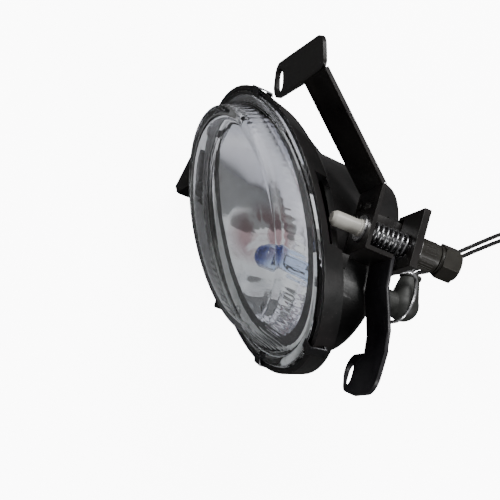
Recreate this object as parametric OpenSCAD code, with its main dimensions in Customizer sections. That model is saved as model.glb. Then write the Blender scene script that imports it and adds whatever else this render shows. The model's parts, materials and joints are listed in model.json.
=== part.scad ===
// Round front fog lamp on a pressed steel bracket, with a screw that aims the beam up and down.
// The beam points along -Y, +Z is up. The origin is midway between the two mounting slots.

/* [Lens and ring] */
// Radius of the clear lens at its rim
lens_r = 55; // [54:0.5:56]
// Angle that the lens is swept back on the right-hand side, in degrees
sweep = 29.6; // [29:0.1:30.2]
// Depth of the lens drum in front of its rim
lens_depth = 14.5; // [13:0.5:15]
// Radius of the flat front of the lens
lens_front_r = 42.6; // [41:0.2:44]
// Thickness of the lens wall
lens_wall = 2.6; // [2.2:0.1:3]

/* [Housing] */
// Outer radius of the housing ring around the lens
ring_r = 57; // [56.8:0.1:57.4]
// Outer radius at the back edge of the ring
ring_back_r = 54; // [53.8:0.1:54.5]
// Outer radius of the bell at its front
bell_r = 37.5; // [37.2:0.1:38]
// Outer radius of the bell at its back
bell_back_r = 36; // [35.6:0.1:36.4]
// Distance from the rim's centre to the back face of the bell
bell_back = 41.6; // [41.4:0.1:42]
// Wall thickness of the housing
wall = 2.2; // [2:0.1:2.4]

/* [Adjuster] */
// Height of the adjusting screw above the lens axis
screw_z = 49; // [48.8:0.1:49.2]
// Radius of the adjusting screw
screw_r = 2; // [1.9:0.05:2.1]
// Radial running clearance in the nut
screw_gap = 0.05; // [0.03:0.01:0.08]
// Outer radius of the compression spring
spring_r = 4.85; // [4.7:0.05:4.9]
// Radius of the spring's wire
spring_wire_r = 0.65; // [0.55:0.05:0.7]
// Number of turns in the spring
spring_turns = 8; // [6:1:9]

/* [Bracket] */
// Thickness of the pressed steel
sheet = 1.6; // [1.4:0.1:1.8]
// Distance between the two mounting slots, across the lamp
slot_gap = 100; // [99:0.5:101]
// Width of each mounting slot
slot_w = 6.6; // [6.4:0.1:7]
// Length of each mounting slot
slot_len = 9; // [8.5:0.1:9.5]
// Lean of the upper tab towards the lens sweep, in degrees
tab_lean = 17; // [15:0.5:18]

/* [Hinge] */
// Radius of the hinge pins
hinge_r = 2.5; // [2.4:0.05:2.6]
// Distance of the hinge line below the lens axis
hinge_drop = 66; // [65.5:0.1:66.5]

/* [Wires] */
// Radius of each wire
wire_r = 0.9; // [0.8:0.05:0.95]

/* [Hidden] */

$fn = 64;
tan_s = tan(sweep);
cos_s = cos(sweep);
// lamp frame: the rim's centre, seen from the midpoint of the mounting slots
slot_x = -5.5;
slot_y = 15;
slot_z = 14;
upper_slot_x = slot_x - slot_gap / 2;
upper_slot_y = -15.6;
lower_slot_x = slot_x + slot_gap / 2;
lower_slot_y = 46;
// the optical axis lies to the right of the rim's centre, because the sweep cuts the bowl off-centre
bulb_x = 8;
bulb_tip = 1;
// planes across the adjuster, front to back
plate_y = 20.4;
plate_back = plate_y + sheet;
lug_y = 38.8;
lug_t = 3;
lug_back = lug_y + lug_t;
seat_gap = 0.4;
washer_y = lug_back + seat_gap;
washer_t = 1;
sleeve_y = washer_y + washer_t;
sleeve_len = 8.6;
knob_y = sleeve_y + sleeve_len;
knob_len = 9;
nut_front = 8;
nut_r = 2.95;
strap_z = 38.5;
strap_left = -11;
strap_w = 8;
spine_y = 47.2;
foot_z = -50;
hinge_y = 18.5;
ear_left = -28.5;
ear_right = 13.6;
ear_t = 3;
ear_low = -77;
bush_wall = 1.4;
bush_gap = 0.05;
bowl_vertex = 36;
bowl_focus = 12;
bowl_t = 1.6;
boot_y = 65.6;
boot_x = 6.8;
clip_angles = [62, 118, 242, 298];

module in_place() translate([-slot_x, -slot_y, -slot_z]) children();

// a solid of revolution about a line along +Y
module along_y(x, y, z) translate([x, y, z]) rotate([-90, 0, 0]) children();

// the space between two planes that are swept like the lens, y0 and y1 behind the rim
module swept_slab(y0, y1)
    translate([0, y0, 0]) rotate([0, 0, sweep]) translate([-100, 0, -100])
        cube([200, (y1 - y0) * cos_s, 200]);

// a drum that runs along Y and is round when seen square to the swept rim
module swept_drum(r, y0, y1)
    intersection() {
        translate([0, 60, 0]) rotate([90, 0, 0])
            linear_extrude(120) polygon([for (i = [0:71]) r * [cos_s * cos(5 * i), sin(5 * i)]]);
        swept_slab(y0, y1);
    }

// a thin round disc in the swept plane
module swept_disc(r, y) translate([0, y, 0]) rotate([0, 0, sweep]) rotate([-90, 0, 0]) cylinder(h = 0.1, r = r);

// the ring's outside, which narrows towards the back
module ring_form()
    hull() {
        swept_disc(ring_r, -1.4);
        swept_disc(ring_back_r, 7.8);
    }

// the space that is y0 or more behind the rim
module behind(y0) swept_slab(y0, y0 + 140);

module pocket(grow)
    intersection() {
        translate([-12 - grow, -20, 42.8 - grow]) cube([23.5 + 2 * grow, 60, 30]);
        swept_slab(grow > 0 ? 0.9 : 1.9, grow > 0 ? 8 : 20);
    }

module flare(r_ring, r_bell, y_ring)
    intersection() {
        hull() {
            swept_disc(r_ring, y_ring);
            along_y(0, 8, 0) cylinder(h = 0.1, r = r_bell);
        }
        behind(2);
    }

// a cone along Y with a rounded back edge
module bell(r1, r2, y_end, corner)
    intersection() {
        along_y(0, -30, 0) rotate_extrude($fn = 96)
            polygon(concat([[0, 0], [r1 + (r1 - r2) * 0.8, 0]],
                [for (a = [0:15:90]) [r2 - corner + corner * cos(a), y_end + 30 - corner + corner * sin(a)]],
                [[0, y_end + 30]]));
        behind(4);
    }

// a hinge ear: a plate across X, reaching down from the ring
module ear(x, outline) translate([x, 0, 0]) rotate([90, 0, 90]) linear_extrude(ear_t) polygon(outline);

module housing() in_place() color([0.09, 0.09, 0.10]) difference() {
    union() {
        difference() {
            union() {
                ring_form();
                flare(ring_back_r - 0.8, bell_r, 7.6);
                bell(bell_r, bell_back_r, bell_back, 3);
            }
            swept_drum(lens_r, -2, 1.3);
            swept_drum(ring_back_r - wall + 0.3, 1.2, 5.6);
            flare(ring_back_r - 0.8 - wall, bell_r - wall, 5.6);
            bell(bell_r - wall, bell_back_r - wall, bell_back - 2.6, 1.5);
        }
        intersection() {
            pocket(1);
            ring_form();
        }
        // pad under the adjuster lug
        translate([-13, lug_y - 4, 30]) cube([20, lug_t + 4, 6.8]);
        // side rib of the pocket
        intersection() {
            translate([11.2, 8, 40]) cube([5.3, 10.5, 10]);
            behind(6.8);
        }
        ear(ear_left, [[-13, -46], [-18, -66], [-20, -75], [-18, ear_low], [20, ear_low + 2],
            [25.5, -70], [26, -24.5], [9, -24.5], [-3, -38]]);
        ear(ear_right, [[15, -49], [12.6, -66], [11.6, -74], [13, ear_low], [21, ear_low + 1],
            [25.5, -70], [27, -32], [18, -32]]);
        // web that braces the left ear against the ring
        difference() {
            intersection() {
                translate([0, 40, 0]) rotate([90, 0, 0]) linear_extrude(90)
                    polygon([[ear_left + 3, -48], [ear_left + 3, ear_low + 1], [ear_left + 0.4, ear_low],
                        [-35, -51], [-37, -38], [-34, -36]]);
                swept_slab(-4.6, 1);
            }
            swept_drum(ring_r - 0.2, -8, -1.4);
            swept_drum(lens_r, -2, 1.3);
        }
    }
    pocket(0);
    // room for the bracket's shelf when the lamp tilts back
    translate([5, 16, 37.8]) cube([6, 14, 10]);
    // opening for the bulb holder, and the breather hole
    along_y(bulb_x, bell_back - 6, 0) cylinder(h = 12, r = 8);
    along_y(22, bell_back - 6, -16) cylinder(h = 12, r = 2.5);
    for (x = [ear_left, ear_right])
        translate([x - 1, hinge_y, -hinge_drop]) rotate([0, 90, 0])
            cylinder(h = ear_t + 2, r = hinge_r + bush_gap + bush_wall);
}

module hinge_bushes() in_place() color([0.85, 0.85, 0.80])
    for (x = [ear_left, ear_right])
        translate([x, hinge_y, -hinge_drop]) rotate([0, 90, 0]) difference() {
            cylinder(h = ear_t, r = hinge_r + bush_gap + bush_wall);
            translate([0, 0, -1]) cylinder(h = ear_t + 2, r = hinge_r + bush_gap);
        }

module hinge_pins() in_place() color([0.6, 0.6, 0.62])
    for (e = [[ear_left, 90], [ear_right + ear_t, -90]])
        translate([e[0], hinge_y, -hinge_drop]) rotate([0, e[1], 0]) {
            translate([0, 0, -0.8]) cylinder(h = ear_t + 0.8 + 0.6 + sheet + 0.8, r = hinge_r);
            translate([0, 0, -2]) cylinder(h = 1.2, r = hinge_r + 1.3);
        }

module lens_form(off)
    intersection() {
        union() {
            hull() {
                swept_disc(50 - off, 0.5);
                swept_disc(49.8 - off, -2);
                swept_disc(47.4 - off, -6.8);
            }
            hull() {
                swept_disc(47.4 - off, -6.9);
                swept_disc(46.3 - off, off * 0.5 - 10);
                swept_disc(44.8 - off * 0.9, off * 0.9 - lens_depth + 1.5);
                swept_disc(lens_front_r - off * 0.7, off - lens_depth);
            }
        }
        swept_slab(-60, off > 0 ? 3 : 0.6);
    }

module lens() in_place() color([0.85, 0.90, 0.92, 0.35]) difference() {
    union() {
        lens_form(0);
        difference() {
            swept_drum(lens_r - 0.6, -2.6, 0.6);
            // groove around the foot of the drum
            difference() {
                swept_drum(50.6, -5, -1.9);
                swept_drum(49.2, -5, -1);
            }
        }
    }
    lens_form(lens_wall);
}

module lens_seal() in_place() color([0.05, 0.05, 0.05]) difference() {
    swept_drum(lens_r, -1.2, 0.5);
    swept_drum(lens_r - 0.6, -3, 2);
}

// spring clips that hold the lens on the ring, each a short length of a C-shaped band
module lens_clips() in_place() color([0.35, 0.35, 0.36])
    for (a = clip_angles) intersection() {
        rotate([0, 0, sweep]) rotate([0, a, 0]) translate([-2.5, -20, 45]) cube([5, 40, 20]);
        difference() {
            swept_drum(ring_r + 0.6, -3.2, 3.9);
            swept_drum(ring_r + 0.06, -2.6, 3.2);
            swept_drum(ring_r - 3.6, -5, 0.1);
            swept_drum(ring_r - 1.2, 0, 6);
        }
    }

module bowl(vertex, focus)
    along_y(bulb_x, 0, 0) rotate_extrude()
        polygon(concat([[0, -40]], [for (r = [60:-5:0]) [r, vertex - r * r / (4 * focus)]]));

module reflector() in_place() color([0.80, 0.81, 0.83]) difference() {
    union() {
        intersection() {
            bowl(bowl_vertex + bowl_t, bowl_focus);
            behind(1.9);
            swept_drum(ring_back_r - wall - 0.4, 0, 60);
        }
        difference() {
            swept_drum(ring_back_r - wall - 0.6, 1.9, 3.2);
            translate([-14, -30, 41.2]) cube([27.5, 60, 30]);
        }
    }
    bowl(bowl_vertex, bowl_focus);
    along_y(bulb_x, 20, 0) cylinder(h = 30, r = 7);
}

module reflector_screws() in_place() color([0.55, 0.55, 0.56])
    for (a = [32, 90, 148])
        rotate([0, 0, sweep]) rotate([0, a, 0]) translate([0, 0, 48.6]) rotate([-90, 0, 0]) {
            translate([0, 0, 2.8]) cylinder(h = 3, r = 1.1);
            translate([0, 0, 0.7]) cylinder(h = 0.9, r = 1.9);
        }

module bulb_glass() in_place() color([0.65, 0.75, 0.95, 0.4])
    along_y(bulb_x, bulb_tip, 0) difference() {
        union() {
            translate([0, 0, 5]) sphere(5);
            translate([0, 0, 5]) cylinder(h = 24 - bulb_tip, r = 5);
        }
        translate([0, 0, 5]) sphere(4.1);
        translate([0, 0, 5]) cylinder(h = 25 - bulb_tip, r = 4.1);
    }

module bulb_filament() in_place() color([0.75, 0.72, 0.65]) {
    translate([bulb_x - 2.6, bulb_tip + 7, 0]) rotate([0, 90, 0]) cylinder(h = 5.2, r = 0.7);
    for (s = [-1, 1]) along_y(bulb_x + 2.2 * s, bulb_tip + 7, 0) cylinder(h = 22 - bulb_tip, r = 0.35);
}

module bulb_base() in_place() color([0.70, 0.70, 0.68]) {
    along_y(bulb_x, 29, 0) cylinder(h = 10, r = 6.4);
    along_y(bulb_x, 37.8, 0) cylinder(h = 1.2, r = 7.6);
}

module bulb_holder() in_place() color([0.12, 0.12, 0.12]) {
    along_y(bulb_x, 39, 0) cylinder(h = 5.2, r = 7.6);
    along_y(bulb_x, bell_back + 1.2, 0) cylinder(h = 5, r = 9.4);
    for (a = [0, 120, 240])
        along_y(bulb_x, bell_back + 6.2, 0) rotate([0, 0, a]) translate([-1.4, 5.6, 0]) cube([2.8, 3.6, 1.6]);
}

module holder_seal() in_place() color([0.45, 0.18, 0.12]) along_y(bulb_x, bell_back, 0) difference() {
    cylinder(h = 1.2, r = 9.2);
    translate([0, 0, -1]) cylinder(h = 4, r = 7.6);
}

module terminals() in_place() color([0.75, 0.68, 0.45])
    for (s = [-1, 1]) translate([bulb_x - 0.4 + 2 * s, bell_back + 6.2, -1.5]) cube([0.8, 7, 3]);

// rubber elbow over the terminals: a neck along the bulb's axis and a body that tapers towards the wires
module boot() in_place() color([0.13, 0.13, 0.12]) difference() {
    union() {
        along_y(bulb_x - 0.4, bell_back + 6.2, 0) cylinder(h = boot_y - bell_back - 6.2, r = 5);
        translate([boot_x, boot_y, 0]) rotate([0, -90, 0]) cylinder(h = boot_x + 5, r1 = 6.6, r2 = 4);
        translate([boot_x, boot_y, 0]) sphere(6.6);
        translate([-5, boot_y, 0]) rotate([0, -90, 0]) cylinder(h = 1.2, r = 4.6);
    }
    along_y(bulb_x, bell_back + 6, 0) cylinder(h = 8.5, r = 3.9);
}

bail_points = [[0, 42.6, 9.5], [0, 51, 9.5], [-3, 57, 9.2], [-4.6, 61, 9], [-3, 64, 9], [3, 65.4, 9],
    [8.6, 65, 9], [13, 63.6, 8.4], [15.6, 62, 6.6], [16.4, 60, 4]];

module bail_clip() in_place() color([0.70, 0.70, 0.72]) {
    tube(bail_points, 0.75, 8);
    along_y(0, bell_back, 9.5) cylinder(h = 2, r = 1.6);
}

module breather_cap() in_place() color([0.10, 0.10, 0.10]) along_y(22, bell_back - 2.5, -16) {
    cylinder(h = 4, r = 2.45);
    translate([0, 0, 2.5]) cylinder(h = 5, r = 4.6);
}

// upright plate that takes the push of the spring and the pull of the screw
module adjuster_lug() in_place() color([0.08, 0.08, 0.09]) difference() {
    union() {
        translate([-14, lug_y, 36.8]) cube([23, lug_t, 21.2]);
        translate([-1, lug_y - 3.5, 36.8]) cube([7, 3.6, 1.6]);
    }
    along_y(0, lug_y - 1, screw_z) cylinder(h = lug_t + 2, r = 3.7);
    // window for the yoke's strap
    translate([strap_left - 1.2, lug_y - 1, strap_z - 3]) cube([strap_w + 2.4, lug_t + 2, sheet + 4.5]);
}

module lug_rivets() in_place() color([0.5, 0.5, 0.5])
    for (x = [0.6, 4.4]) translate([x, lug_y - 1.8, 38.4]) cylinder(h = 1, r = 1.2);

module bracket_plate() in_place() color([0.07, 0.07, 0.07]) {
    difference() {
        translate([-16, plate_y, strap_z]) cube([23.4, sheet, 19.5]);
        along_y(0, plate_y - 1, screw_z) cylinder(h = sheet + 2, r = 3.5);
        // lightening slot beside the nut
        translate([-10.5, plate_y - 1, 47]) cube([2.4, sheet + 2, 5]);
    }
    // shelf folded back to carry the short arm
    translate([7.4, plate_y, strap_z]) cube([sheet, 11.4, 19.5]);
}

// one straight stretch of a strip, between two rounded bends that run along Z
module strip(a, b)
    hull() {
        translate(a) cylinder(h = arm_w, r = sheet / 2, $fn = 24);
        translate(b) cylinder(h = arm_w, r = sheet / 2, $fn = 24);
    }

module slot_cut(x, y)
    translate([x, y - 10, slot_z]) rotate([-90, 0, 0]) {
        for (e = [-1, 1]) translate([e * (slot_len - slot_w) / 2, 0, 0]) cylinder(h = 20, r = slot_w / 2);
        translate([-(slot_len - slot_w) / 2, -slot_w / 2, 0]) cube([slot_len - slot_w, slot_w, 20]);
    }

// the long arm runs diagonally forward and outward, and its tab leans with the sweep
arm_foot = [-16, 20.4];
arm_tip = [-48.6, -13.6];
arm_angle = atan2(arm_foot[1] - arm_tip[1], arm_foot[0] - arm_tip[0]);
arm_len = norm(arm_foot - arm_tip);

module upper_arm() in_place() color([0.07, 0.07, 0.07]) difference() {
    union() {
        // filled corner of the bend beside the plate
        translate([0, 0, 38.5]) linear_extrude(19.5)
            polygon([[-16, plate_y], [-16, plate_back], [-17.1, plate_back - 0.3]]);
        translate([arm_tip[0], arm_tip[1], 38]) rotate([0, 0, arm_angle]) cube([arm_len, sheet, 20]);
        translate([arm_tip[0], arm_tip[1], 0]) rotate([0, 0, tab_lean]) rotate([90, 0, 0])
            translate([0, 0, -sheet]) linear_extrude(sheet) upper_tab_outline();
    }
    slot_cut(upper_slot_x, upper_slot_y);
}

module upper_tab_outline()
    hull() {
        translate([-3.8, 53.2]) circle(3.4);
        translate([-9.2, 51.4]) circle(4.9);
        translate([-9.2, 14.4]) circle(5.4);
        translate([-5.6, 12.8]) circle(5);
        translate([-1, 37]) square([1, 1]);
    }

module lower_tab_outline()
    hull() {
        translate([42.4, 15]) circle(6);
        translate([46, 16.6]) circle(5.8);
        translate([48.6, 23.5]) circle(5);
        translate([47.4, 35]) circle(6.6);
        translate([37.4, 22.6]) square([0.6, 19.4]);
    }

arm_start = plate_y + 11.4;
arm_w = 18;

module lower_arm() in_place() color([0.07, 0.07, 0.07]) difference() {
    union() {
        translate([7.4, arm_start, 38]) cube([sheet, 0.8, arm_w]);
        strip([8.2, arm_start + 0.8, 38], [17.6, 35.2, 34]);
        strip([17.6, 35.2, 34], [25.2, 40.6, 29]);
        strip([25.2, 40.6, 29], [30.6, 44.4, 25]);
        strip([30.6, 44.4, 25], [38.2, lower_slot_y, 23.6]);
        translate([0, lower_slot_y + sheet / 2, 0]) rotate([90, 0, 0]) linear_extrude(sheet) lower_tab_outline();
    }
    slot_cut(lower_slot_x, lower_slot_y);
}

// the yoke passes under the spring, through the lug's window, and down behind the bell to the hinge
module pivot_yoke() in_place() color([0.07, 0.07, 0.07]) difference() {
    union() {
        translate([strap_left, plate_back, strap_z]) cube([strap_w, spine_y - plate_back, sheet]);
        translate([strap_left, plate_back, strap_z]) cube([strap_w, sheet, 6]);
        translate([strap_left, spine_y, foot_z]) cube([strap_w, sheet, strap_z - foot_z + sheet]);
        translate([ear_left + ear_t + 0.6, 26, foot_z])
            cube([ear_right - ear_left - ear_t - 1.2, spine_y - 26 + sheet, sheet]);
        for (x = [ear_left + ear_t + 0.6, ear_right - 0.6 - sheet])
            translate([x, 0, 0]) rotate([90, 0, 90]) linear_extrude(sheet)
                polygon([[28, foot_z + sheet], [42, foot_z + sheet], [24.5, -71], [18.5, -72], [13.5, -70],
                    [12.5, -65], [15.5, -61.5]]);
    }
    for (x = [ear_left, ear_right])
        translate([x - 5, hinge_y, -hinge_drop]) rotate([0, 90, 0]) cylinder(h = 12, r = hinge_r);
}

module yoke_rivets() in_place() color([0.10, 0.10, 0.10])
    for (x = [-10, -5]) along_y(x, plate_y - 0.8, 42.2) cylinder(h = 0.8, r = 1.6);

module adjuster_nut() in_place() color([0.80, 0.79, 0.74]) along_y(0, 0, screw_z) difference() {
    union() {
        translate([0, 0, nut_front + 1.5]) cylinder(h = 19 - nut_front - 1.5, r = nut_r);
        translate([0, 0, nut_front]) cylinder(h = 1.5, r1 = nut_r - 1, r2 = nut_r);
        translate([0, 0, 19]) cylinder(h = 1.4, r = 3.3);
        translate([0, 0, plate_y]) cylinder(h = sheet, r = 3.5);
    }
    translate([0, 0, nut_front + 1.5]) cylinder(h = 20, r = screw_r + screw_gap);
}

module nut_retainer() in_place() color([0.55, 0.55, 0.56]) along_y(0, 19.6, screw_z) difference() {
    cylinder(h = 0.8, r = 5.2);
    translate([0, 0, -1]) cylinder(h = 3, r = 3.3);
}

// a coil spring, swept as one tube around the screw
module adjuster_spring() in_place() color([0.42, 0.42, 0.44]) {
    mean_r = spring_r - spring_wire_r;
    y0 = plate_back + spring_wire_r + 0.05;
    y1 = lug_y - spring_wire_r - 0.05;
    steps = spring_turns * 16;
    sides = 8;
    pts = [for (i = [0:steps], k = [0:sides - 1])
        let (a = 360 * spring_turns * i / steps, b = 360 * k / sides,
            r = mean_r + spring_wire_r * cos(b), u = min(max((i / steps - 0.06) / 0.88, 0), 1))
        [r * cos(a), y0 + (y1 - y0) * u + spring_wire_r * sin(b), screw_z + r * sin(a)]];
    polyhedron(points = pts, faces = concat(
        [[for (k = [sides - 1:-1:0]) k]],
        [[for (k = [0:sides - 1]) steps * sides + k]],
        [for (i = [0:steps - 1], k = [0:sides - 1])
            [i * sides + k, i * sides + (k + 1) % sides, (i + 1) * sides + (k + 1) % sides,
                (i + 1) * sides + k]]));
}

module seat_washer() in_place() color([0.62, 0.62, 0.64]) along_y(0, washer_y, screw_z) difference() {
    cylinder(h = washer_t, r = 6.6);
    translate([0, 0, -1]) cylinder(h = washer_t + 2, r = screw_r + screw_gap);
}

module thrust_sleeve() in_place() color([0.20, 0.19, 0.17]) along_y(0, sleeve_y, screw_z) difference() {
    cylinder(h = sleeve_len, r = 5.6);
    translate([0, 0, -1]) cylinder(h = sleeve_len + 2, r = screw_r + screw_gap);
}

module adjuster_screw() in_place() color([0.60, 0.60, 0.62])
    along_y(0, 14, screw_z) cylinder(h = knob_y - 14 + 6, r = screw_r);

module adjuster_knob() in_place() color([0.22, 0.21, 0.18]) along_y(0, knob_y, screw_z) difference() {
    union() {
        translate([0, 0, 0.35]) cylinder(h = 1, r = 5.4);
        translate([0, 0, 1.3]) cylinder(h = knob_len - 2.3, r = 6.9, $fn = 6);
        translate([0, 0, knob_len - 1.1]) cylinder(h = 1.1, r = 5.4);
    }
    translate([0, 0, -1]) cylinder(h = 7, r = screw_r);
}

// tube swept along a route, with its rings square to the mean of the two neighbouring stretches
function unit(v) = v / norm(v);
function heading(p, i) = unit(unit(p[min(i + 1, len(p) - 1)] - p[max(i - 1, 0)]));
function across(t) = unit(cross(t, abs(t[2]) > 0.9 ? [1, 0, 0] : [0, 0, 1]));
// points eased between the route's own points
function eased(p, n) = [for (i = [0:len(p) - 2], j = [0:n - 1])
    let (a = p[max(i - 1, 0)], b = p[i], c = p[i + 1], d = p[min(i + 2, len(p) - 1)], u = j / n)
    0.5 * (2 * b + (c - a) * u + (2 * a - 5 * b + 4 * c - d) * u * u + (3 * b - a - 3 * c + d) * u * u * u)];

module tube(route, r, sides) {
    p = concat(eased(route, 2), [route[len(route) - 1]]);
    n = len(p);
    pts = [for (i = [0:n - 1], k = [0:sides - 1])
        let (t = heading(p, i), s = across(t), w = cross(s, t), b = 360 * k / sides)
        p[i] + r * (cos(b) * s + sin(b) * w)];
    polyhedron(points = pts, faces = concat(
        [[for (k = [sides - 1:-1:0]) k]],
        [[for (k = [0:sides - 1]) (n - 1) * sides + k]],
        [for (i = [0:n - 2], k = [0:sides - 1])
            [i * sides + k, i * sides + (k + 1) % sides, (i + 1) * sides + (k + 1) % sides,
                (i + 1) * sides + k]]));
}

// the two leads leave the boot, droop clear of the bracket and lie on the ground as far as their plug
upper_route = [
    [-5.2, 64, 1.1], [-9, 66, 0.9], [-12, 70.5, 0], [-16, 75.5, -0.8], [-22, 82, -2], [-30, 91, -3.5],
    [-39, 101.5, -5.5], [-46.5, 111.5, -10], [-53, 121, -18.5], [-58.5, 129.5, -30], [-63, 137.5, -43],
    [-67, 145, -56], [-70.5, 152, -67.5], [-74, 159.5, -74], [-77, 168, -76.1], [-79.3, 175.5, -76],
    [-81.2, 182.5, -74.6], [-82.6, 189.5, -73]];
lower_route = [
    [-5.2, 66.2, -1.1], [-8.6, 68.6, -1], [-11, 72.6, -1.8], [-15, 77.8, -2.6], [-21, 84.4, -3.8],
    [-28.6, 93, -5.4], [-37.4, 103.6, -7.5], [-44.6, 113.6, -12], [-50.6, 123, -20.8], [-55.8, 131.2, -32.4],
    [-60, 139, -45.4], [-63.8, 146.4, -58.4], [-67.2, 153.4, -69], [-70.8, 161, -74.8], [-73.8, 169, -76.1],
    [-76.2, 176.2, -76], [-78, 183, -74.6], [-79, 189.5, -73]];

module wire_upper() in_place() color([0.06, 0.06, 0.06]) tube(upper_route, wire_r, 8);
module wire_lower() in_place() color([0.06, 0.06, 0.06]) tube(lower_route, wire_r, 8);

module wire_plug() in_place() color([0.10, 0.10, 0.10]) {
    translate([-87, 188, -77]) cube([12.4, 14, 8.4]);
    translate([-85.8, 202, -75.8]) difference() {
        cube([10, 6, 6]);
        translate([1.2, 1, 1.2]) cube([7.6, 8, 3.6]);
    }
}

module plug_latch() in_place() color([0.55, 0.12, 0.10]) translate([-83.2, 190, -68.6]) {
    cube([4.8, 12, 1]);
    translate([0, 10.4, 1]) cube([4.8, 1.6, 1]);
}

bracket_plate();
upper_arm();
lower_arm();
pivot_yoke();
yoke_rivets();
hinge_pins();
adjuster_nut();
nut_retainer();
adjuster_spring();
housing();
adjuster_lug();
lug_rivets();
hinge_bushes();
lens();
lens_seal();
lens_clips();
reflector();
reflector_screws();
bulb_glass();
bulb_filament();
bulb_base();
bulb_holder();
holder_seal();
terminals();
boot();
bail_clip();
breather_cap();
seat_washer();
thrust_sleeve();
adjuster_screw();
adjuster_knob();
wire_upper();
wire_lower();
wire_plug();
plug_latch();
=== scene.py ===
import json
from math import atan2, cos, pi, radians, sin, sqrt, tan

import bmesh
import bpy
from mathutils import Matrix, Vector


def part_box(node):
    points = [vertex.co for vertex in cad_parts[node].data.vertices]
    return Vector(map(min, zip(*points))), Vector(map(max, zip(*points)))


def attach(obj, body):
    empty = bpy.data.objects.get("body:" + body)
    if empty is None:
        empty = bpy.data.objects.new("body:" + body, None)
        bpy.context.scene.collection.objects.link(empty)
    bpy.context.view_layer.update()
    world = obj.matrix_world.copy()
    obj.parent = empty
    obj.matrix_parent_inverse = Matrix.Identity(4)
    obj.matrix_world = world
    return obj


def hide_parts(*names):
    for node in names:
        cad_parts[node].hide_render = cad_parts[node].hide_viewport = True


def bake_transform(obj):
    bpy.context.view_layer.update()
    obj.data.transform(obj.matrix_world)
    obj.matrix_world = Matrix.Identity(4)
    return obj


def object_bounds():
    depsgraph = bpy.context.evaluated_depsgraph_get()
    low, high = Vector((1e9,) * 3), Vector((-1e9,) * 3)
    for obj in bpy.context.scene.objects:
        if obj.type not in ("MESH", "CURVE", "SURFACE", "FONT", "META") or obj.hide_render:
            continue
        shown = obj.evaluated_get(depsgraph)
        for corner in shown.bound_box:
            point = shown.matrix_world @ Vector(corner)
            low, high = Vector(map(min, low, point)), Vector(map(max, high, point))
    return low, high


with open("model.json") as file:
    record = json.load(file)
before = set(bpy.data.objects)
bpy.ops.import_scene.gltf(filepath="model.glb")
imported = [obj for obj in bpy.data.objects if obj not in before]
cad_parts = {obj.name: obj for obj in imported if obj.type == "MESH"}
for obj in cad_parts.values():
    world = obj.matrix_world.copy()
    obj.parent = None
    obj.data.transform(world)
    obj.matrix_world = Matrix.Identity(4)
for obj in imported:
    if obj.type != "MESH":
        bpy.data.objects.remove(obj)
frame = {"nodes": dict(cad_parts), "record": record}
CAD_BOX = [list(corner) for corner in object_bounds()]

MM = 0.001
SWEEP = radians(29.6)
FLANGE_R = 54.4 * MM
FLANGE_BACK = 0.6 * MM

# The centre of the lens rim, worked out from the lens's own box.
lens_low, lens_high = (Vector(c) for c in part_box("lens"))
RIM = Vector((
    (lens_low.x + lens_high.x) / 2,
    lens_high.y - FLANGE_BACK - FLANGE_R * sin(SWEEP),
    (lens_low.z + lens_high.z) / 2,
))
screw_low, screw_high = (Vector(c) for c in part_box("adjuster_screw"))
SCREW_X, SCREW_Z = (screw_low.x + screw_high.x) / 2, (screw_low.z + screw_high.z) / 2
FLOOR_Z = CAD_BOX[0][2]

VIEW_AZIMUTH, VIEW_ELEVATION, VIEW_ROLL = radians(43.6), radians(67.0), radians(65.73)
VIEW_LENS, SENSOR_WIDTH = 108, 36
EDGE_ANGLE = 38


def at(x, y, z):
    """A point given in millimetres from the rim's centre, in the row frame."""
    return RIM + Vector((x, y, z)) * MM


# ---------------------------------------------------------------- camera
def place_camera():
    level = cos(VIEW_ELEVATION)
    back = Vector((sin(VIEW_AZIMUTH) * level, -cos(VIEW_AZIMUTH) * level, sin(VIEW_ELEVATION)))
    right = (-back).cross(Vector((0, 0, 1))).normalized()
    up = right.cross(-back)
    turned_right = right * cos(VIEW_ROLL) + up * sin(VIEW_ROLL)
    turned_up = up * cos(VIEW_ROLL) - right * sin(VIEW_ROLL)
    camera = bpy.data.objects.new("camera", bpy.data.cameras.new("camera"))
    camera.data.lens, camera.data.sensor_width = VIEW_LENS, SENSOR_WIDTH
    camera.data.clip_start, camera.data.clip_end = 0.01, 20
    camera.matrix_world = Matrix.Translation(at(166.1, -167.9, 537.3)) @ Matrix(
        (turned_right, turned_up, back)).transposed().to_4x4()
    bpy.context.collection.objects.link(camera)
    bpy.context.scene.camera = camera


place_camera()


# ---------------------------------------------------------------- shader groups
def group_sockets(tree, inputs, outputs):
    """Named inputs with their first values and named outputs; gives the tree's two end nodes."""
    for name, kind, value in inputs:
        socket = tree.interface.new_socket(name=name, in_out="INPUT", socket_type=kind)
        if value is not None:
            socket.default_value = value
    for name, kind in outputs:
        tree.interface.new_socket(name=name, in_out="OUTPUT", socket_type=kind)
    return tree.nodes.new("NodeGroupInput"), tree.nodes.new("NodeGroupOutput")


def node(tree, kind, inputs=None, **settings):
    made = tree.nodes.new(kind)
    for key, value in settings.items():
        setattr(made, key, value)
    for key, value in (inputs or {}).items():
        if isinstance(value, bpy.types.NodeSocket):
            tree.links.new(value, made.inputs[key])
        else:
            made.inputs[key].default_value = value
    return made


def mixed(tree, factor, a, b):
    """Colour a, going to colour b as factor goes to 1."""
    # the Mix node's sockets share names, so they are taken by number
    mix = node(tree, "ShaderNodeMix", data_type="RGBA")
    for socket, value in ((mix.inputs[0], factor), (mix.inputs[6], a), (mix.inputs[7], b)):
        if isinstance(value, bpy.types.NodeSocket):
            tree.links.new(value, socket)
        else:
            socket.default_value = value
    return mix.outputs[2]


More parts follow.
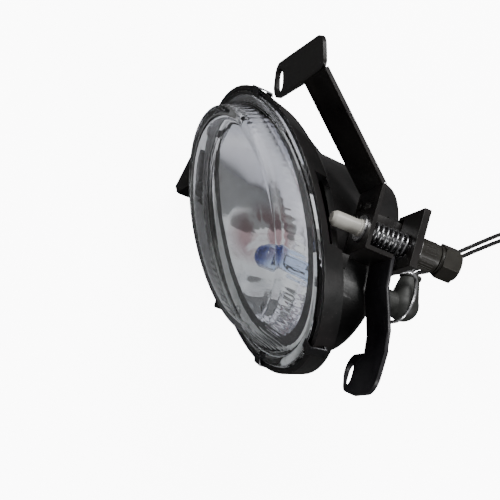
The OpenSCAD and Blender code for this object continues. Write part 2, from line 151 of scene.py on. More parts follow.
def stepped(tree, value, low, high, to_low=0.0, to_high=1.0):
    """The value's stretch from low to high, spread from to_low to to_high and held there beyond it."""
    return node(tree, "ShaderNodeMapRange", {
        "Value": value, "From Min": low, "From Max": high, "To Min": to_low, "To Max": to_high,
    }).outputs[0]


def make_finish_group():
    """Coat of paint, moulding or rubber: cloudy tone, fine grain, dust specks and handling marks."""
    tree = bpy.data.node_groups.new("handled_surface", "ShaderNodeTree")
    source, sink = group_sockets(tree, [
        ("Base", "NodeSocketColor", (0.02, 0.02, 0.02, 1)),
        ("Cloud", "NodeSocketColor", (0.04, 0.04, 0.04, 1)),
        ("Dust", "NodeSocketColor", (0.3, 0.28, 0.26, 1)),
        ("Dust Amount", "NodeSocketFloat", 0.1),
        ("Cloud Scale", "NodeSocketFloat", 40.0),
        ("Grain Scale", "NodeSocketFloat", 1500.0),
        ("Grain Depth", "NodeSocketFloat", 0.1),
        ("Roughness Low", "NodeSocketFloat", 0.3),
        ("Roughness High", "NodeSocketFloat", 0.45),
    ], [("Color", "NodeSocketColor"), ("Roughness", "NodeSocketFloat"), ("Normal", "NodeSocketVector")])
    place = node(tree, "ShaderNodeTexCoord").outputs["Object"]
    cloud = node(tree, "ShaderNodeTexNoise", {
        "Vector": place, "Scale": source.outputs["Cloud Scale"], "Detail": 4.0, "Roughness": 0.6})
    tone = stepped(tree, cloud.outputs["Fac"], 0.38, 0.66)
    colour = mixed(tree, tone, source.outputs["Base"], source.outputs["Cloud"])
    specks = node(tree, "ShaderNodeTexVoronoi", {"Vector": place, "Scale": 620.0})
    speck = stepped(tree, specks.outputs["Distance"], 0.16, 0.08)
    patches = node(tree, "ShaderNodeTexNoise", {"Vector": place, "Scale": 95.0, "Detail": 3.0})
    patch = stepped(tree, patches.outputs["Fac"], 0.5, 0.7)
    both = node(tree, "ShaderNodeMath", {0: speck, 1: patch}, operation="MULTIPLY").outputs[0]
    amount = node(tree, "ShaderNodeMath", {0: both, 1: source.outputs["Dust Amount"]},
                  operation="MULTIPLY").outputs[0]
    tree.links.new(mixed(tree, amount, colour, source.outputs["Dust"]), sink.inputs["Color"])
    rough = node(tree, "ShaderNodeMapRange", {
        "Value": cloud.outputs["Fac"], "From Min": 0.35, "From Max": 0.65,
        "To Min": source.outputs["Roughness Low"], "To Max": source.outputs["Roughness High"]})
    tree.links.new(rough.outputs[0], sink.inputs["Roughness"])
    grain = node(tree, "ShaderNodeTexNoise", {
        "Vector": place, "Scale": source.outputs["Grain Scale"], "Detail": 2.0})
    bump = node(tree, "ShaderNodeBump", {
        "Height": grain.outputs["Fac"], "Strength": source.outputs["Grain Depth"], "Distance": 0.0002})
    tree.links.new(bump.outputs[0], sink.inputs["Normal"])
    return tree


def make_drawn_group():
    """Drawn or turned metal: fine lines round or along one way, and darker stains of oil."""
    tree = bpy.data.node_groups.new("drawn_metal", "ShaderNodeTree")
    source, sink = group_sockets(tree, [
        ("Metal", "NodeSocketColor", (0.5, 0.5, 0.5, 1)),
        ("Stain", "NodeSocketColor", (0.08, 0.07, 0.06, 1)),
        ("Stain Amount", "NodeSocketFloat", 0.5),
        ("Line Scale", "NodeSocketFloat", 900.0),
        ("Roughness Low", "NodeSocketFloat", 0.2),
        ("Roughness High", "NodeSocketFloat", 0.45),
    ], [("Color", "NodeSocketColor"), ("Roughness", "NodeSocketFloat"), ("Normal", "NodeSocketVector")])
    place = node(tree, "ShaderNodeTexCoord").outputs["Object"]
    squeezed = node(tree, "ShaderNodeMapping", {"Vector": place, "Scale": (1.0, 0.08, 1.0)}).outputs[0]
    lines = node(tree, "ShaderNodeTexNoise", {
        "Vector": squeezed, "Scale": source.outputs["Line Scale"], "Detail": 2.0})
    stains = node(tree, "ShaderNodeTexNoise", {"Vector": place, "Scale": 160.0, "Detail": 4.0})
    stain = node(tree, "ShaderNodeMath", {
        0: stepped(tree, stains.outputs["Fac"], 0.45, 0.65), 1: source.outputs["Stain Amount"]},
        operation="MULTIPLY").outputs[0]
    tree.links.new(mixed(tree, stain, source.outputs["Metal"], source.outputs["Stain"]), sink.inputs["Color"])
    rough = node(tree, "ShaderNodeMapRange", {
        "Value": lines.outputs["Fac"], "From Min": 0.3, "From Max": 0.7,
        "To Min": source.outputs["Roughness Low"], "To Max": source.outputs["Roughness High"]})
    tree.links.new(rough.outputs[0], sink.inputs["Roughness"])
    bump = node(tree, "ShaderNodeBump", {
        "Height": lines.outputs["Fac"], "Strength": 0.12, "Distance": 0.0001})
    tree.links.new(bump.outputs[0], sink.inputs["Normal"])
    return tree


HANDLED = make_finish_group()
DRAWN = make_drawn_group()


# ---------------------------------------------------------------- materials
def blank(name):
    """A new material with its tree and its main shader."""
    material = bpy.data.materials.new(name)
    material.use_nodes = True
    return material, material.node_tree, material.node_tree.nodes["Principled BSDF"]


def finish_from(tree, shader, group, values):
    """Places a finish group in the material with its own values, and feeds the shader from it."""
    used = node(tree, "ShaderNodeGroup", node_tree=group)
    for key, value in values.items():
        used.inputs[key].default_value = value
    for output, target in (("Color", "Base Color"), ("Roughness", "Roughness"), ("Normal", "Normal")):
        tree.links.new(used.outputs[output], shader.inputs[target])


def handled(name, base, cloud, dust_amount=0.1, rough=(0.3, 0.45), grain=(1500.0, 0.1), cloud_scale=40.0,
            coat=0.0, dust=(0.3, 0.28, 0.26)):
    """Paint, plastic or rubber from the handled-surface group; grain is its scale and depth."""
    material, tree, shader = blank(name)
    finish_from(tree, shader, HANDLED, {
        "Base": (*base, 1), "Cloud": (*cloud, 1), "Dust": (*dust, 1), "Dust Amount": dust_amount,
        "Cloud Scale": cloud_scale, "Grain Scale": grain[0], "Grain Depth": grain[1],
        "Roughness Low": rough[0], "Roughness High": rough[1]})
    shader.inputs["Specular IOR Level"].default_value = 0.35
    shader.inputs["Coat Weight"].default_value = coat
    shader.inputs["Coat Roughness"].default_value = 0.12
    return material


def drawn(name, metal, stain, amount=0.5, rough=(0.2, 0.45), lines=900.0):
    """Bare or plated metal from the drawn-metal group."""
    material, tree, shader = blank(name)
    finish_from(tree, shader, DRAWN, {
        "Metal": (*metal, 1), "Stain": (*stain, 1), "Stain Amount": amount, "Line Scale": lines,
        "Roughness Low": rough[0], "Roughness High": rough[1]})
    shader.inputs["Metallic"].default_value = 1.0
    return material


def clear(name, tint, roughness, ior, ripple, shadow_tint, tip=None):
    """Clear glass or plastic. Its shadow is only tinted, so light reaches what is behind it."""
    material, tree, shader = blank(name)
    shader.inputs["Base Color"].default_value = (*tint, 1)
    shader.inputs["Roughness"].default_value = roughness
    shader.inputs["IOR"].default_value = ior
    shader.inputs["Transmission Weight"].default_value = 1.0
    place = node(tree, "ShaderNodeTexCoord").outputs["Object"]
    if tip:
        # the tint is strongest at the tip and thins out behind it
        depth = node(tree, "ShaderNodeSeparateXYZ", {"Vector": place}).outputs["Y"]
        fading = stepped(tree, depth, at(0, 2, 0).y, at(0, 6, 0).y)
        tree.links.new(mixed(tree, fading, (*tip, 1), (*tint, 1)), shader.inputs["Base Color"])
    waves = node(tree, "ShaderNodeTexNoise", {"Vector": place, "Scale": 55.0, "Detail": 2.0})
    bump = node(tree, "ShaderNodeBump", {
        "Height": waves.outputs["Fac"], "Strength": ripple, "Distance": 0.001})
    tree.links.new(bump.outputs[0], shader.inputs["Normal"])
    through = node(tree, "ShaderNodeBsdfTransparent", {"Color": (*shadow_tint, 1)})
    paths = node(tree, "ShaderNodeLightPath")
    mix = node(tree, "ShaderNodeMixShader", {
        0: paths.outputs["Is Shadow Ray"], 1: shader.outputs[0], 2: through.outputs[0]})
    tree.links.new(mix.outputs[0], tree.nodes["Material Output"].inputs["Surface"])
    return material


# where the painted reflection, a maroon patch on the bowl, sits, and the distances over which it fades in
REFLECTION_SPOT_AT = (-9, 9, -31)
REFLECTION_SPOT_OUTER, REFLECTION_SPOT_INNER = 0.014, 0.007


def bright_bowl(name):
    """Metallised coating with soft clouds and a few warm spots, and a painted reflection: a maroon patch at one
    fixed spot low on its smooth side.
    """
    material, tree, shader = blank(name)
    place = node(tree, "ShaderNodeTexCoord").outputs["Object"]
    clouds = node(tree, "ShaderNodeTexNoise", {
        "Vector": place, "Scale": 30.0, "Detail": 2.0, "Distortion": 0.3})
    veil = stepped(tree, clouds.outputs["Fac"], 0.42, 0.68)
    cool = mixed(tree, veil, (0.66, 0.67, 0.72, 1), (0.93, 0.93, 0.96, 1))
    spots = node(tree, "ShaderNodeTexNoise", {
        "Vector": place, "Scale": 85.0, "Detail": 3.0, "Distortion": 0.6})
    warm = stepped(tree, spots.outputs["Fac"], 0.58, 0.72, 0.0, 0.4)
    speckled = mixed(tree, warm, cool, (0.26, 0.18, 0.19, 1))
    # painted reflection: a maroon patch at a fixed spot on the bowl, made patchy by the noise, stands in for
    # what the bowl mirrors
    apart = node(tree, "ShaderNodeVectorMath", {0: place, 1: at(*REFLECTION_SPOT_AT)}, operation="DISTANCE")
    near = stepped(tree, apart.outputs["Value"], REFLECTION_SPOT_OUTER, REFLECTION_SPOT_INNER)
    strength = stepped(tree, spots.outputs["Fac"], 0.38, 0.5, 0.1, 0.75)
    painted_reflection = node(tree, "ShaderNodeMath", {0: near, 1: strength}, operation="MULTIPLY").outputs[0]
    tree.links.new(mixed(tree, painted_reflection, speckled, (0.30, 0.13, 0.15, 1)), shader.inputs["Base Color"])
    shader.inputs["Metallic"].default_value = 1.0
    tree.links.new(stepped(tree, clouds.outputs["Fac"], 0.3, 0.7, 0.05, 0.14), shader.inputs["Roughness"])
    bump = node(tree, "ShaderNodeBump", {"Height": clouds.outputs["Fac"], "Strength": 0.06, "Distance": 0.001})
    tree.links.new(bump.outputs[0], shader.inputs["Normal"])
    return material


BLACK_ENAMEL = handled("black_enamel", (0.006, 0.005, 0.005), (0.015, 0.013, 0.012), 0.25,
                       (0.26, 0.42), (1300.0, 0.12), coat=0.05)
# the lower arm's enamel is the bracket's black enamel made lighter and plum-tinted: painted sheen for the light
# on that arm
ENAMEL_PAINTED_SHEEN = handled("black_enamel_painted_sheen", (0.008, 0.007, 0.009), (0.026, 0.025, 0.028), 0.25,
                      (0.32, 0.5), (1300.0, 0.12), coat=0.03)
SHELL = handled("shell_plastic", (0.006, 0.006, 0.006), (0.014, 0.012, 0.012), 0.2,
                (0.28, 0.44), (900.0, 0.16), coat=0.05)
RUBBER = handled("boot_rubber", (0.016, 0.017, 0.016), (0.034, 0.035, 0.032), 0.3,
                 (0.45, 0.6), (700.0, 0.25), 70.0)
OLIVE_PLASTIC = handled("olive_black_plastic", (0.012, 0.011, 0.009), (0.026, 0.024, 0.020), 0.2,
                        (0.28, 0.42), (1000.0, 0.1))
NYLON = handled("natural_nylon", (0.36, 0.35, 0.32), (0.47, 0.45, 0.40), 0.1,
                (0.35, 0.5), (900.0, 0.08), 120.0, dust=(0.2, 0.18, 0.15))
SEAL = handled("black_seal", (0.006, 0.006, 0.006), (0.012, 0.012, 0.012), 0.05, (0.5, 0.65))
RED_SEAL = handled("red_seal", (0.16, 0.035, 0.022), (0.2, 0.05, 0.03), 0.1, (0.45, 0.6))
SLEEVING = handled("wire_sleeving", (0.008, 0.008, 0.008), (0.016, 0.016, 0.016), 0.1,
                   (0.28, 0.4), (1600.0, 0.1))
CONNECTOR = handled("connector_plastic", (0.014, 0.014, 0.015), (0.024, 0.024, 0.025), 0.15, (0.35, 0.5))
LATCH_RED = handled("latch_plastic", (0.30, 0.03, 0.02), (0.36, 0.05, 0.03), 0.08, (0.3, 0.45))
HOLDER = handled("holder_plastic", (0.02, 0.02, 0.02), (0.032, 0.032, 0.032), 0.15, (0.4, 0.55))
BEZEL = handled("reflector_bezel", (0.012, 0.012, 0.013), (0.02, 0.02, 0.021), 0.05, (0.35, 0.5))
SPRING_STEEL = drawn("oiled_spring_steel", (0.28, 0.28, 0.29), (0.03, 0.028, 0.026), 0.6, (0.2, 0.4))
ZINC = drawn("zinc_plate", (0.55, 0.55, 0.56), (0.14, 0.13, 0.12), 0.5)
DARK_STEEL = drawn("blackened_steel", (0.09, 0.09, 0.095), (0.02, 0.02, 0.02), 0.5, (0.25, 0.45))
BRIGHT_WIRE = drawn("bright_wire", (0.72, 0.72, 0.74), (0.3, 0.29, 0.28), 0.3, (0.12, 0.3))
BRASS = drawn("tinned_brass", (0.72, 0.62, 0.42), (0.3, 0.22, 0.12), 0.4)
ALLOY = drawn("satin_alloy", (0.65, 0.65, 0.64), (0.25, 0.24, 0.23), 0.3, (0.3, 0.5))
TUNGSTEN = drawn("tungsten", (0.5, 0.46, 0.4), (0.2, 0.16, 0.12), 0.4)
LENS_CLEAR = clear("clear_lens", (0.97, 0.985, 0.985), 0.015, 1.5, 0.05, (0.93, 0.95, 0.95))
BULB_CLEAR = clear("blue_quartz", (0.80, 0.87, 1.0), 0.02, 1.46, 0.02, (0.8, 0.87, 1.0),
                   tip=(0.01, 0.035, 0.32))
BOWL = bright_bowl("metallised_bowl")
SATIN_BOWL = drawn("metallised_flange", (0.86, 0.88, 0.87), (0.60, 0.62, 0.56), 0.5,
                   (0.3, 0.5), 300.0)


# ---------------------------------------------------------------- making pieces
def object_from(name, data, *materials):
    made = bpy.data.objects.new(name, data)
    bpy.context.collection.objects.link(made)
    for material in materials:
        data.materials.append(material)
    return made


def ridden(piece, body, stands_for=None):
    """Sets the piece on its body, and hides the CAD node it stands for, if any."""
    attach(piece, body)
    if stands_for:
        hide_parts(stands_for)


def shade(mesh, angle):
    """Smooth shading, with a crease where faces meet at more than the angle."""
    mesh.polygons.foreach_set("use_smooth", [True] * len(mesh.polygons))
    mesh.set_sharp_from_angle(angle=radians(angle))


def frozen(source):
    """The object's mesh with its modifiers worked in, and the modifiers taken off."""
    bpy.context.view_layer.update()
    mesh = bpy.data.meshes.new_from_object(source.evaluated_get(bpy.context.evaluated_depsgraph_get()))
    source.modifiers.clear()
    source.data = mesh
    return source


def body_of(cad_node):
    return next(b for b, names in frame["record"]["behaviour"]["bodies"].items() if cad_node in names)


def dressed(cad_node, material, edge):
    """The CAD node's own shape, welded, with its sharp edges broken by a small round, edge mm wide."""
    mesh = frame["nodes"][cad_node].data.copy()
    mesh.materials.clear()
    work = bmesh.new()
    work.from_mesh(mesh)
    bmesh.ops.remove_doubles(work, verts=work.verts, dist=2e-6)
    bmesh.ops.dissolve_limit(work, angle_limit=radians(0.4), verts=work.verts, edges=work.edges)
    work.to_mesh(mesh)
    work.free()
    shown = object_from("shown_" + cad_node, mesh, material)
    shade(mesh, EDGE_ANGLE)
    if edge:
        round_off = shown.modifiers.new("round_off", "BEVEL")
        round_off.width, round_off.segments = edge * MM, 2
        round_off.limit_method, round_off.angle_limit = "ANGLE", radians(EDGE_ANGLE)
        round_off.use_clamp_overlap = True
        round_off.harden_normals = True
    frozen(shown)
    ridden(shown, body_of(cad_node), cad_node)
    return shown


def rim_ring(y, r, steps, wave=None):
    """Points round a circle in the swept plane that lies y behind the rim, in millimetres."""
    points = []
    for i in range(steps):
        a = 2 * pi * i / steps
        rr = r + (wave(a) if wave else 0.0)
        points.append(at(rr * cos(a) * cos(SWEEP), y + rr * cos(a) * sin(SWEEP), rr * sin(a)))
    return points


def lofted(name, rings, material, angle):
    """A closed skin over rings of points. A ring has as many points as the others, or one for a pole."""
    mesh = bpy.data.meshes.new(name)
    work = bmesh.new()
    rows = [[work.verts.new(p) for p in ring] for ring in rings]
    for lower, upper in zip(rows, rows[1:] + rows[:1]):
        count = max(len(lower), len(upper))
        for i in range(count):
            j = (i + 1) % count
            corners = []
            for row, k in ((lower, i), (lower, j), (upper, j), (upper, i)):
                vert = row[k] if len(row) > 1 else row[0]
                if vert not in corners:
                    corners.append(vert)
            if len(corners) > 2:
                work.faces.new(corners)
    bmesh.ops.recalc_face_normals(work, faces=work.faces)
    work.to_mesh(mesh)
    work.free()
    made = object_from(name, mesh, material)
    shade(mesh, angle)
    return made


# ---------------------------------------------------------------- lens
# Each profile lists depth behind the rim and radius, in millimetres.
LENS_OUTSIDE = [
    (0.6, 51.0), (0.6, 54.2), (0.3, 54.4), (-2.2, 54.4), (-2.6, 54.0), (-2.6, 51.0), (-2.3, 50.6),
    (-1.9, 50.4), (-1.9, 50.0), (-2.4, 49.7), (-4.4, 48.7), (-6.8, 47.4), (-8.6, 46.8), (-10.2, 46.2),
    (-11.8, 45.5),
    (-13.0, 44.8), (-13.8, 43.9), (-14.3, 42.9), (-14.5, 41.9), (-14.45, 30.0), (-14.4, 15.0),
]
LENS_INSIDE = [
    (-11.9, 15.0), (-11.9, 30.0), (-12.0, 39.5), (-11.7, 41.4), (-10.6, 42.9), (-9.0, 43.8), (-6.8, 44.8),
    (-4.0, 46.0), (-2.0, 47.0), (0.6, 47.4),
]


LENS_STEPS = 360
FLUTES, FLUTE_DEPTH, FLUTE_MIDDLE, FLUTE_REACH = 90, 0.16, -6.5, 5.5


def flutes_at(y):
    """Upright flutes inside the wall, fading out towards the front and the flange."""
    fade = max(0.0, 1 - abs(y - FLUTE_MIDDLE) / FLUTE_REACH)
    return lambda a: -FLUTE_DEPTH * fade * abs(sin(FLUTES / 2 * a))


def make_lens():
    rings = [rim_ring(y, r, LENS_STEPS) for y, r in LENS_OUTSIDE]
    rings += [[at(0, LENS_OUTSIDE[-1][0], 0)], [at(0, LENS_INSIDE[0][0], 0)]]
    rings += [rim_ring(y, r, LENS_STEPS, flutes_at(y)) for y, r in LENS_INSIDE]
    ridden(lofted("clear_lens_moulding", rings, LENS_CLEAR, 50), "lamp", "lens")


# ---------------------------------------------------------------- reflector
BULB_X = 8.0            # the bulb's axis, and the bowl's
VERTEX = 36.0           # the bowl's deepest point, if it had no hole
FOCUS = 12.0
HOLE_R = 7.0
RIM_CUT = 1.95          # how far behind the rim's plane the bowl is cut
TRIM_R = 50.2
FLANGE_EDGE = 51.0
LIP_W = 4.6
LIP_FRONT, LIP_BACK = 1.9, 3.1
BOWL_WALL = 1.3
BOWL_AROUND, BOWL_OUT = 468, 70
NOTCH_TOP, NOTCH_LEFT, NOTCH_RIGHT = 41.2, -14, 13.5
SMOOTH_SIDE = radians(150)
FACET_BAND, FACETS_AROUND, FACET_BULGE, FACET_STEP = 7.4, 22, 0.85, 0.35


def bowl_reach(a):
    """How far from the bulb's axis the bowl meets the swept plane, in direction a."""
    c = cos(a) * tan(SWEEP)
    k = VERTEX - RIM_CUT - BULB_X * tan(SWEEP)
    to_plane = 2 * FOCUS * (-c + sqrt(c * c + k / FOCUS))
    # the bowl is also trimmed where it would touch the ring
    p, q = cos(a) / cos(SWEEP), BULB_X / cos(SWEEP)
    m = p * p + sin(a) ** 2
    to_ring = (-p * q + sqrt(p * p * q * q - m * (q * q - TRIM_R * TRIM_R))) / m
    return min(to_plane, to_ring)


def facet(r, a):
    """Height of the pillow-shaped facets, in rows that are set off by half a facet. One side is left smooth."""
    smooth = min(max((cos(a - SMOOTH_SIDE) - 0.15) / 0.3, 0.0), 1.0)
    band = (r - HOLE_R) / FACET_BAND
    column = a / (2 * pi) * FACETS_AROUND + (0.5 if int(band) % 2 else 0.0)
    bulge = sin(pi * (band % 1.0)) * abs(sin(pi * column))
    step = FACET_STEP * (band % 1.0)
    return (1 - smooth) * (FACET_BULGE * bulge - step) * min(1.0, (r - HOLE_R) / 4)


def make_bowl():
    front, back = [], []
    for j in range(BOWL_OUT + 1):
        u = j / BOWL_OUT
        row, rear = [], []
        for i in range(BOWL_AROUND):
            a = 2 * pi * i / BOWL_AROUND
            r = HOLE_R + (bowl_reach(a) - HOLE_R) * u
            x, z = BULB_X + r * cos(a), r * sin(a)
            y = VERTEX - r * r / (4 * FOCUS)
            fade = min(1.0, (1 - u) * 14)
            row.append(at(x, y - facet(r, a) * fade, z))
            rear.append(at(x, max(y, x * tan(SWEEP) + RIM_CUT) + BOWL_WALL, z))
        front.append(row)
        back.append(rear)
    ridden(lofted("faceted_bowl", front + back[::-1], BOWL, 28), "lamp", "reflector")


def in_plane(points, y):
    """Points of the swept plane that lies y behind the rim, from their x and z."""
    return [at(x, y + x * tan(SWEEP), z) for x, z in points]


def make_mouth():
    """A dark lip runs round the bowl's mouth, and the flange outside it is metallised."""
    inner, middle, outer = [], [], []
    for i in range(BOWL_AROUND):
        a = 2 * pi * i / BOWL_AROUND
        x, z = BULB_X + bowl_reach(a) * cos(a), bowl_reach(a) * sin(a)
        turn = atan2(z, x / cos(SWEEP))
        ox, oz = FLANGE_EDGE * cos(turn) * cos(SWEEP), FLANGE_EDGE * sin(turn)
        if oz > NOTCH_TOP and NOTCH_LEFT < ox < NOTCH_RIGHT:
            # the flange is cut back under the bracket's plate
            ox, oz = ox * NOTCH_TOP / oz, NOTCH_TOP
        share = min(0.9, LIP_W / sqrt((ox - x) ** 2 + (oz - z) ** 2))
        inner.append((x, z))
        middle.append((x + (ox - x) * share, z + (oz - z) * share))
        outer.append((ox, oz))
    for name, near, far, material in (
        ("bowl_lip", inner, middle, BEZEL), ("reflector_flange", middle, outer, SATIN_BOWL),
    ):
        band = [in_plane(near, LIP_FRONT), in_plane(far, LIP_FRONT), in_plane(far, LIP_BACK),
                in_plane(near, LIP_BACK)]
        ridden(lofted(name, band, material, 30), "lamp")


# ---------------------------------------------------------------- geometry trees
def geometry_tree(name, inputs):
    """A tree that makes its own geometry, with named inputs and then where it stands and its material."""
    tree = bpy.data.node_groups.new(name, "GeometryNodeTree")
    source, sink = group_sockets(tree, [("Geometry", "NodeSocketGeometry", None)] + inputs + [
        ("Place", "NodeSocketVector", (0, 0, 0)), ("Finish", "NodeSocketMaterial", None),
    ], [("Geometry", "NodeSocketGeometry")])
    return tree, source.outputs, sink


def stand_and_finish(tree, made, given, sink):
    """Turns what was made along Z to stand along Y at its place, and gives it its material."""
    placed = node(tree, "GeometryNodeTransform", {
        "Geometry": made, "Translation": given["Place"], "Rotation": (-pi / 2, 0, 0)})
    real = node(tree, "GeometryNodeRealizeInstances", {"Geometry": placed.outputs[0]})
    finish = node(tree, "GeometryNodeSetMaterial", {"Geometry": real.outputs[0], "Material": given["Finish"]})
    tree.links.new(finish.outputs[0], sink.inputs[0])
    return tree


def coil_tree():
    """A round wire wound into a coil along Y."""
    tree, given, sink = geometry_tree("wound_wire", [
        ("Turns", "NodeSocketFloat", 7.0), ("Coil Radius", "NodeSocketFloat", 0.004),
        ("Wire Radius", "NodeSocketFloat", 0.0006), ("Length", "NodeSocketFloat", 0.016),
        ("Steps Per Turn", "NodeSocketInt", 32), ("Sides", "NodeSocketInt", 12)])
    path = node(tree, "GeometryNodeCurveSpiral", {
        "Resolution": given["Steps Per Turn"], "Rotations": given["Turns"],
        "Start Radius": given["Coil Radius"], "End Radius": given["Coil Radius"], "Height": given["Length"]})
    section = node(tree, "GeometryNodeCurvePrimitiveCircle", {
        "Resolution": given["Sides"], "Radius": given["Wire Radius"]})
    wire = node(tree, "GeometryNodeCurveToMesh", {
        "Curve": path.outputs[0], "Profile Curve": section.outputs[0], "Fill Caps": True})
    return stand_and_finish(tree, wire.outputs[0], given, sink)


def spaced_tree():
    """Small rounded bars set evenly round a circle that faces along Y."""
    tree, given, sink = geometry_tree("ring_of_bars", [
        ("Count", "NodeSocketInt", 24), ("Circle Radius", "NodeSocketFloat", 0.006),
        ("Bar Radius", "NodeSocketFloat", 0.0004), ("Bar Length", "NodeSocketFloat", 0.006)])
    circle = node(tree, "GeometryNodeCurvePrimitiveCircle", {
        "Resolution": given["Count"], "Radius": given["Circle Radius"]})
    bar = node(tree, "GeometryNodeMeshCylinder", {
        "Vertices": 8, "Radius": given["Bar Radius"], "Depth": given["Bar Length"]})
    spread = node(tree, "GeometryNodeInstanceOnPoints", {
        "Points": circle.outputs[0], "Instance": bar.outputs["Mesh"]})
    return stand_and_finish(tree, spread.outputs[0], given, sink)


COIL = coil_tree()
BARS = spaced_tree()


def grown(name, tree, values):
    """A plain mesh made by a geometry tree with these named inputs."""
    made = object_from(name, bpy.data.meshes.new(name))
    modifier = made.modifiers.new("grow", "NODES")
    modifier.node_group = tree
    for item in tree.interface.items_tree:
        if item.in_out == "INPUT" and item.name in values:
            modifier[item.identifier] = values[item.name]
    frozen(made)
    shade(made.data, 50)
    return made


# ---------------------------------------------------------------- adjuster
SPRING_WIRE, SPRING_TURNS = 0.65 * MM, 7.5
THREAD_PITCH, THREAD_MIDDLE_R, THREAD_WIRE, THREAD_END = 2 * MM, 1.85 * MM, 0.32 * MM, 42
SCREW_TRAVEL = 4.4 * MM


def make_spring():
    """The spring, wound in the place of the CAD spring between the bracket and the lamp."""
    low, high = (Vector(c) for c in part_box("adjuster_spring"))
    spring = grown("wound_spring", COIL, {
        "Turns": SPRING_TURNS, "Coil Radius": (high.x - low.x) / 2 - SPRING_WIRE, "Wire Radius": SPRING_WIRE,
        "Length": high.y - low.y - 2 * SPRING_WIRE, "Place": (SCREW_X, low.y + SPRING_WIRE, SCREW_Z),
        "Finish": SPRING_STEEL})
    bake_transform(spring)
    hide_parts("adjuster_spring")


def make_thread():
    """The thread that shows begins far enough behind the nut to stay clear of it over the whole travel."""
    begin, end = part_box("adjuster_nut")[1][1] + SCREW_TRAVEL, at(0, THREAD_END, 0).y
    thread = grown("screw_thread", COIL, {
        "Turns": (end - begin) / THREAD_PITCH, "Coil Radius": THREAD_MIDDLE_R, "Wire Radius": THREAD_WIRE,
        "Length": end - begin, "Sides": 6, "Steps Per Turn": 20, "Place": (SCREW_X, begin, SCREW_Z),
        "Finish": ZINC})
    ridden(thread, "screw")


def make_grip():
    """Fine ribs round the sleeve that the knob bears on."""
    low, high = (Vector(c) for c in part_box("thrust_sleeve"))
    grip = grown("sleeve_grip", BARS, {
        "Count": 30, "Circle Radius": (high.x - low.x) / 2 - 0.1 * MM, "Bar Radius": 0.28 * MM,
        "Bar Length": (high.y - low.y) - 3 * MM,
        "Place": (SCREW_X, (low.y + high.y) / 2, SCREW_Z), "Finish": OLIVE_PLASTIC})
    ridden(grip, "seat")


# ---------------------------------------------------------------- wires
# Each route runs from inside the boot to the plug, in millimetres from the rim's centre.
WIRE_R = 0.9 * MM
UPPER_ROUTE = [
    (-5.2, 64, 1.1), (-9, 66, 0.9), (-12, 70.5, 0), (-16, 75.5, -0.8), (-22, 82, -2), (-30, 91, -3.5),
    (-39, 101.5, -5.5), (-46.5, 111.5, -10), (-53, 121, -18.5), (-58.5, 129.5, -30), (-63, 137.5, -43),
    (-67, 145, -56), (-70.5, 152, -67.5), (-74, 159.5, -74), (-77, 168, -76.1), (-79.3, 175.5, -76),
    (-81.2, 182.5, -74.6), (-82.6, 189.5, -73),
]
LOWER_ROUTE = [
    (-5.2, 66.2, -1.1), (-8.6, 68.6, -1), (-11, 72.6, -1.8), (-15, 77.8, -2.6), (-21, 84.4, -3.8),
    (-28.6, 93, -5.4), (-37.4, 103.6, -7.5), (-44.6, 113.6, -12), (-50.6, 123, -20.8), (-55.8, 131.2, -32.4),
    (-60, 139, -45.4), (-63.8, 146.4, -58.4), (-67.2, 153.4, -69), (-70.8, 161, -74.8), (-73.8, 169, -76.1),
    (-76.2, 176.2, -76), (-78, 183, -74.6), (-79, 189.5, -73),
]


def eased(route, parts):
    """Points on one smooth curve through the route's own points."""
    points = [at(*p) for p in route]
    out = []
    for i in range(len(points) - 1):
        a, b = points[max(i - 1, 0)], points[i]
        c, d = points[i + 1], points[min(i + 2, len(points) - 1)]
        for j in range(parts):
            u = j / parts
            out.append(0.5 * (2 * b + (c - a) * u + (2 * a - 5 * b + 4 * c - d) * u ** 2
                              + (3 * b - a - 3 * c + d) * u ** 3))
    return out + [points[-1]]


def make_wire(name, route, cad_node):
    points = eased(route, 6)
    curve = bpy.data.curves.new(name, "CURVE")
    curve.dimensions = "3D"
    curve.bevel_depth, curve.bevel_resolution, curve.use_fill_caps = WIRE_R, 4, True
    spline = curve.splines.new("POLY")
    spline.points.add(len(points) - 1)
    for slot_point, p in zip(spline.points, points):
        slot_point.co = (*p, 1)
    spline.use_smooth = True
    wire = object_from(name, curve, SLEEVING)
    ridden(wire, "lamp", cad_node)


def make_wires():
    plug = dressed("wire_plug", CONNECTOR, 0.4)
    latch = dressed("plug_latch", LATCH_RED, 0.2)
    make_wire("upper_lead", UPPER_ROUTE, "wire_upper")
    make_wire("lower_lead", LOWER_ROUTE, "wire_lower")


# ---------------------------------------------------------------- the rest of the lamp
def make_pieces():
    for names, material, edge in (
        (("bracket_plate", "upper_arm", "pivot_yoke"), BLACK_ENAMEL, 0.35),
        # painted sheen: the lower arm takes the lighter copy of the bracket's enamel
        (("lower_arm",), ENAMEL_PAINTED_SHEEN, 0.35),
        (("yoke_rivets", "adjuster_lug"), BLACK_ENAMEL, 0.3),
        (("housing",), SHELL, 0.3),
        (("hinge_pins", "nut_retainer", "seat_washer", "reflector_screws", "lug_rivets"), ZINC, 0.15),
        (("adjuster_nut", "hinge_bushes"), NYLON, 0.3),
        (("lens_clips",), DARK_STEEL, 0.15),
        (("lens_seal",), SEAL, 0),
        (("bulb_glass",), BULB_CLEAR, 0),
        (("bulb_filament",), TUNGSTEN, 0),
        (("bulb_base",), ALLOY, 0.2),
        (("bulb_holder",), HOLDER, 0.3),
        (("holder_seal",), RED_SEAL, 0.1),
        (("terminals",), BRASS, 0.1),
        (("boot", "breather_cap"), RUBBER, 0.5),
        (("bail_clip",), BRIGHT_WIRE, 0),
        (("thrust_sleeve", "adjuster_knob"), OLIVE_PLASTIC, 0.4),
        (("adjuster_screw",), ZINC, 0.3),
    ):
        for name in names:
            dressed(name, material, edge)


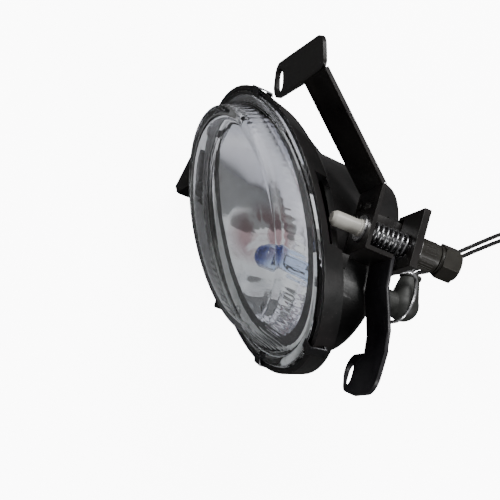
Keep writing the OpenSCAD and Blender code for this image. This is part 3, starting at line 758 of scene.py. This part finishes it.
# ---------------------------------------------------------------- studio
FLOOR_HALF, FLOOR_DROP = 3.0, 0.0002
WHITE = (1, 1, 1, 1)
WHITE_GLOW = 9.0
SOFT_GLOW = 0.26
# Light that comes back through the lens twice has passed four of its faces.
LENS_FACES_LOW, LENS_FACES_HIGH = 2.4, 3.4
AREA_LIGHTS = (
    ("window_light", (-0.6, -0.1, 0.8), 0.4, 13),
    ("front_light", (0.0, -0.95, 0.45), 1.3, 3.6),
    ("rear_light", (0.5, 0.6, 0.7), 0.3, 6),
)


def make_floor():
    """A floor that shows white, and throws only a little light up, more of it through the lens."""
    mesh = bpy.data.meshes.new("floor")
    mesh.from_pydata([(x * FLOOR_HALF, y * FLOOR_HALF, FLOOR_Z - FLOOR_DROP) for x, y in (
        (-1, -1), (1, -1), (1, 1), (-1, 1))], [], [(0, 1, 2, 3)])
    floor_finish, tree, shader = blank("pale_floor")
    shader.inputs["Base Color"].default_value = (0.92, 0.92, 0.92, 1)
    shader.inputs["Roughness"].default_value = 0.9
    shader.inputs["Specular IOR Level"].default_value = 0.1
    shader.inputs["Emission Color"].default_value = WHITE
    shader.inputs["Emission Strength"].default_value = WHITE_GLOW
    paths = node(tree, "ShaderNodeLightPath")
    through_lens = stepped(tree, paths.outputs["Transmission Depth"], LENS_FACES_LOW, LENS_FACES_HIGH)
    dim = node(tree, "ShaderNodeBsdfDiffuse", {
        "Color": mixed(tree, through_lens, (0.07, 0.07, 0.07, 1), (0.62, 0.61, 0.65, 1))})
    mix = node(tree, "ShaderNodeMixShader", {
        0: paths.outputs["Is Camera Ray"], 1: dim.outputs[0], 2: shader.outputs[0]})
    tree.links.new(mix.outputs[0], tree.nodes["Material Output"].inputs["Surface"])
    object_from("floor", mesh, floor_finish)


def make_world():
    """Soft light from all round, behind which the view is as white as the floor."""
    world = bpy.data.worlds.new("studio")
    world.use_nodes = True
    tree = world.node_tree
    soft = tree.nodes["Background"]
    soft.inputs["Color"].default_value, soft.inputs["Strength"].default_value = WHITE, SOFT_GLOW
    seen = node(tree, "ShaderNodeBackground", {"Color": WHITE, "Strength": WHITE_GLOW})
    rays = node(tree, "ShaderNodeLightPath")
    both = node(tree, "ShaderNodeMixShader", {
        0: rays.outputs["Is Camera Ray"], 1: soft.outputs[0], 2: seen.outputs[0]})
    tree.links.new(both.outputs[0], tree.nodes["World Output"].inputs["Surface"])
    bpy.context.scene.world = world


def make_lights():
    middle = at(0, 10, 0)
    for name, place, size, power in AREA_LIGHTS:
        lamp = bpy.data.lights.new(name, "AREA")
        lamp.shape, lamp.size, lamp.energy = "SQUARE", size, power
        light = object_from(name, lamp)
        spot = middle + Vector(place)
        turn = (spot - middle).to_track_quat("Z", "Y").to_matrix().to_4x4()
        light.matrix_world = Matrix.Translation(spot) @ turn


make_wires()
make_lens()
make_bowl()
make_mouth()
make_spring()
make_thread()
make_grip()
make_pieces()
make_floor()
make_world()
make_lights()
